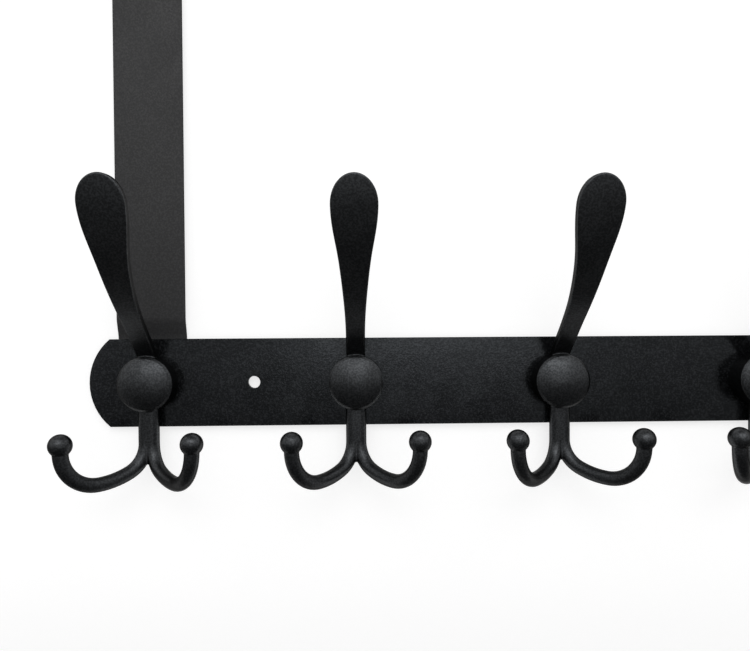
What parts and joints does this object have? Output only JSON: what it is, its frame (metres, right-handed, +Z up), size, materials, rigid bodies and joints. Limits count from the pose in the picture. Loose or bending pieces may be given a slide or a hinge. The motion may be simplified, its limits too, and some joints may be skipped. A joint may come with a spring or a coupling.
{
  "type": "door hook rack",
  "caption": "Flat rail with bowed ends that hangs over a door on bent straps and carries cast hooks, each with a tall spoon arm, a domed boss and forked ball-tipped prongs.",
  "frame": {"origin": "centre of the rail's back face, midway between the two wall-screw holes", "axes": "+X along the rail, to the right seen from the front; +Z up; the hooks reach out along -Y"},
  "size_m": [0.434, 0.1064, 0.266],
  "materials": {
    "black_coating": "matte",
    "screw_steel": "satin"
  },
  "bodies": {
    "root": {"rail": "black_coating", "strap_left": "black_coating", "strap_right": "black_coating", "tri_hook_1": "black_coating", "tri_hook_2": "black_coating", "tri_hook_3": "black_coating", "tri_hook_4": "black_coating", "tri_hook_5": "black_coating", "hook_screws": "screw_steel", "strap_screws": "screw_steel"}
  },
  "joints": []
}
